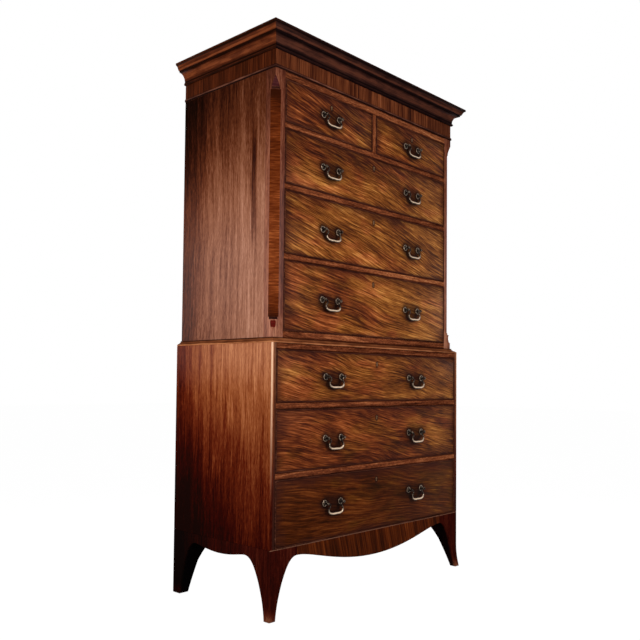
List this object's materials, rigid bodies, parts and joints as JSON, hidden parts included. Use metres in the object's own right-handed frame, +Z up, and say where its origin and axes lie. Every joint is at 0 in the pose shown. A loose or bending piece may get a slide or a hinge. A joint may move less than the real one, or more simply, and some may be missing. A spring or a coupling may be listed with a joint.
{
  "type": "chest on chest",
  "caption": "Tall mahogany chest on chest: an upper case with canted corners and cornice on a lower case with splayed feet, drawers that slide and swan-neck bail handles that swing.",
  "frame": {"origin": "on the floor, midway across the front and midway between the back and the front edge of the cornice", "axes": "+Z up, -Y out of the front, +X to the right as seen from the front"},
  "size_m": [1.104, 0.526, 1.9],
  "materials": {
    "mahogany_case": "polished straight-grained mahogany, red-brown with dark patina",
    "mahogany_front": "polished figured mahogany veneer, tan to dark brown",
    "mahogany_moulding": "polished dark mahogany",
    "drawer_lining": "bare planed oak",
    "back_boards": "bare aged pine",
    "brass": "dark aged brass, rubbed bright at the grips"
  },
  "bodies": {
    "carcass": {"foot_front_left": "mahogany_case", "foot_front_right": "mahogany_case", "foot_back_left": "mahogany_case", "foot_back_right": "mahogany_case", "front_apron": "mahogany_case", "left_apron": "mahogany_case", "right_apron": "mahogany_case", "lower_bottom_board": "drawer_lining", "lower_side_left": "mahogany_case", "lower_side_right": "mahogany_case", "lower_top_board": "mahogany_case", "lower_back_board": "back_boards", "lower_rail_upper": "mahogany_case", "lower_rail_lower": "mahogany_case", "waist_moulding": "mahogany_moulding", "upper_side_left": "mahogany_case", "upper_side_right": "mahogany_case", "corner_post_left": "mahogany_case", "corner_post_right": "mahogany_case", "upper_bottom_board": "mahogany_case", "upper_top_board": "mahogany_case", "upper_back_board": "back_boards", "upper_rail_top": "mahogany_case", "upper_rail_middle": "mahogany_case", "upper_rail_bottom": "mahogany_case", "short_drawer_divider": "mahogany_case", "frieze": "mahogany_case", "astragal": "mahogany_moulding", "cornice": "mahogany_moulding", "cornice_top_board": "back_boards"},
    "short_drawer_left": {"short_drawer_left_front": "mahogany_front", "short_drawer_left_tray": "drawer_lining"},
    "short_drawer_right": {"short_drawer_right_front": "mahogany_front", "short_drawer_right_tray": "drawer_lining"},
    "upper_drawer_top": {"upper_drawer_top_front": "mahogany_front", "upper_drawer_top_tray": "drawer_lining"},
    "upper_drawer_middle": {"upper_drawer_middle_front": "mahogany_front", "upper_drawer_middle_tray": "drawer_lining"},
    "upper_drawer_bottom": {"upper_drawer_bottom_front": "mahogany_front", "upper_drawer_bottom_tray": "drawer_lining"},
    "lower_drawer_top": {"lower_drawer_top_front": "mahogany_front", "lower_drawer_top_tray": "drawer_lining"},
    "lower_drawer_middle": {"lower_drawer_middle_front": "mahogany_front", "lower_drawer_middle_tray": "drawer_lining"},
    "lower_drawer_bottom": {"lower_drawer_bottom_front": "mahogany_front", "lower_drawer_bottom_tray": "drawer_lining"},
    "short_drawer_left_handle": {"short_drawer_left_bail": "brass"},
    "short_drawer_right_handle": {"short_drawer_right_bail": "brass"},
    "upper_drawer_top_handle_left": {"upper_drawer_top_bail_left": "brass"},
    "upper_drawer_top_handle_right": {"upper_drawer_top_bail_right": "brass"},
    "upper_drawer_middle_handle_left": {"upper_drawer_middle_bail_left": "brass"},
    "upper_drawer_middle_handle_right": {"upper_drawer_middle_bail_right": "brass"},
    "upper_drawer_bottom_handle_left": {"upper_drawer_bottom_bail_left": "brass"},
    "upper_drawer_bottom_handle_right": {"upper_drawer_bottom_bail_right": "brass"},
    "lower_drawer_top_handle_left": {"lower_drawer_top_bail_left": "brass"},
    "lower_drawer_top_handle_right": {"lower_drawer_top_bail_right": "brass"},
    "lower_drawer_middle_handle_left": {"lower_drawer_middle_bail_left": "brass"},
    "lower_drawer_middle_handle_right": {"lower_drawer_middle_bail_right": "brass"},
    "lower_drawer_bottom_handle_left": {"lower_drawer_bottom_bail_left": "brass"},
    "lower_drawer_bottom_handle_right": {"lower_drawer_bottom_bail_right": "brass"}
  },
  "joints": [
    {"name": "short_drawer_left_slide", "type": "slide", "parent": "carcass", "child": "short_drawer_left", "axis": [0, -1, 0], "range_m": [0, 0.36]},
    {"name": "short_drawer_right_slide", "type": "slide", "parent": "carcass", "child": "short_drawer_right", "axis": [0, -1, 0], "range_m": [0, 0.36]},
    {"name": "upper_drawer_top_slide", "type": "slide", "parent": "carcass", "child": "upper_drawer_top", "axis": [0, -1, 0], "range_m": [0, 0.36]},
    {"name": "upper_drawer_middle_slide", "type": "slide", "parent": "carcass", "child": "upper_drawer_middle", "axis": [0, -1, 0], "range_m": [0, 0.36]},
    {"name": "upper_drawer_bottom_slide", "type": "slide", "parent": "carcass", "child": "upper_drawer_bottom", "axis": [0, -1, 0], "range_m": [0, 0.36]},
    {"name": "lower_drawer_top_slide", "type": "slide", "parent": "carcass", "child": "lower_drawer_top", "axis": [0, -1, 0], "range_m": [0, 0.38]},
    {"name": "lower_drawer_middle_slide", "type": "slide", "parent": "carcass", "child": "lower_drawer_middle", "axis": [0, -1, 0], "range_m": [0, 0.38]},
    {"name": "lower_drawer_bottom_slide", "type": "slide", "parent": "carcass", "child": "lower_drawer_bottom", "axis": [0, -1, 0], "range_m": [0, 0.38]},
    {"name": "short_drawer_left_bail_swing", "type": "hinge", "parent": "short_drawer_left", "child": "short_drawer_left_handle", "pos_m": [-0.2355, -0.2315, 1.672], "axis": [-1, 0, 0], "range_deg": [0, 100]},
    {"name": "short_drawer_right_bail_swing", "type": "hinge", "parent": "short_drawer_right", "child": "short_drawer_right_handle", "pos_m": [0.2355, -0.2315, 1.672], "axis": [-1, 0, 0], "range_deg": [0, 100]},
    {"name": "upper_drawer_top_bail_left_swing", "type": "hinge", "parent": "upper_drawer_top", "child": "upper_drawer_top_handle_left", "pos_m": [-0.2355, -0.2315, 1.4895], "axis": [-1, 0, 0], "range_deg": [0, 100]},
    {"name": "upper_drawer_top_bail_right_swing", "type": "hinge", "parent": "upper_drawer_top", "child": "upper_drawer_top_handle_right", "pos_m": [0.2355, -0.2315, 1.4895], "axis": [-1, 0, 0], "range_deg": [0, 100]},
    {"name": "upper_drawer_middle_bail_left_swing", "type": "hinge", "parent": "upper_drawer_middle", "child": "upper_drawer_middle_handle_left", "pos_m": [-0.2355, -0.2315, 1.273], "axis": [-1, 0, 0], "range_deg": [0, 100]},
    {"name": "upper_drawer_middle_bail_right_swing", "type": "hinge", "parent": "upper_drawer_middle", "child": "upper_drawer_middle_handle_right", "pos_m": [0.2355, -0.2315, 1.273], "axis": [-1, 0, 0], "range_deg": [0, 100]},
    {"name": "upper_drawer_bottom_bail_left_swing", "type": "hinge", "parent": "upper_drawer_bottom", "child": "upper_drawer_bottom_handle_left", "pos_m": [-0.2355, -0.2315, 1.031], "axis": [-1, 0, 0], "range_deg": [0, 100]},
    {"name": "upper_drawer_bottom_bail_right_swing", "type": "hinge", "parent": "upper_drawer_bottom", "child": "upper_drawer_bottom_handle_right", "pos_m": [0.2355, -0.2315, 1.031], "axis": [-1, 0, 0], "range_deg": [0, 100]},
    {"name": "lower_drawer_top_bail_left_swing", "type": "hinge", "parent": "lower_drawer_top", "child": "lower_drawer_top_handle_left", "pos_m": [-0.2355, -0.2515, 0.7675], "axis": [-1, 0, 0], "range_deg": [0, 100]},
    {"name": "lower_drawer_top_bail_right_swing", "type": "hinge", "parent": "lower_drawer_top", "child": "lower_drawer_top_handle_right", "pos_m": [0.2355, -0.2515, 0.7675], "axis": [-1, 0, 0], "range_deg": [0, 100]},
    {"name": "lower_drawer_middle_bail_left_swing", "type": "hinge", "parent": "lower_drawer_middle", "child": "lower_drawer_middle_handle_left", "pos_m": [-0.2355, -0.2515, 0.5595], "axis": [-1, 0, 0], "range_deg": [0, 100]},
    {"name": "lower_drawer_middle_bail_right_swing", "type": "hinge", "parent": "lower_drawer_middle", "child": "lower_drawer_middle_handle_right", "pos_m": [0.2355, -0.2515, 0.5595], "axis": [-1, 0, 0], "range_deg": [0, 100]},
    {"name": "lower_drawer_bottom_bail_left_swing", "type": "hinge", "parent": "lower_drawer_bottom", "child": "lower_drawer_bottom_handle_left", "pos_m": [-0.2355, -0.2515, 0.341], "axis": [-1, 0, 0], "range_deg": [0, 100]},
    {"name": "lower_drawer_bottom_bail_right_swing", "type": "hinge", "parent": "lower_drawer_bottom", "child": "lower_drawer_bottom_handle_right", "pos_m": [0.2355, -0.2515, 0.341], "axis": [-1, 0, 0], "range_deg": [0, 100]}
  ]
}
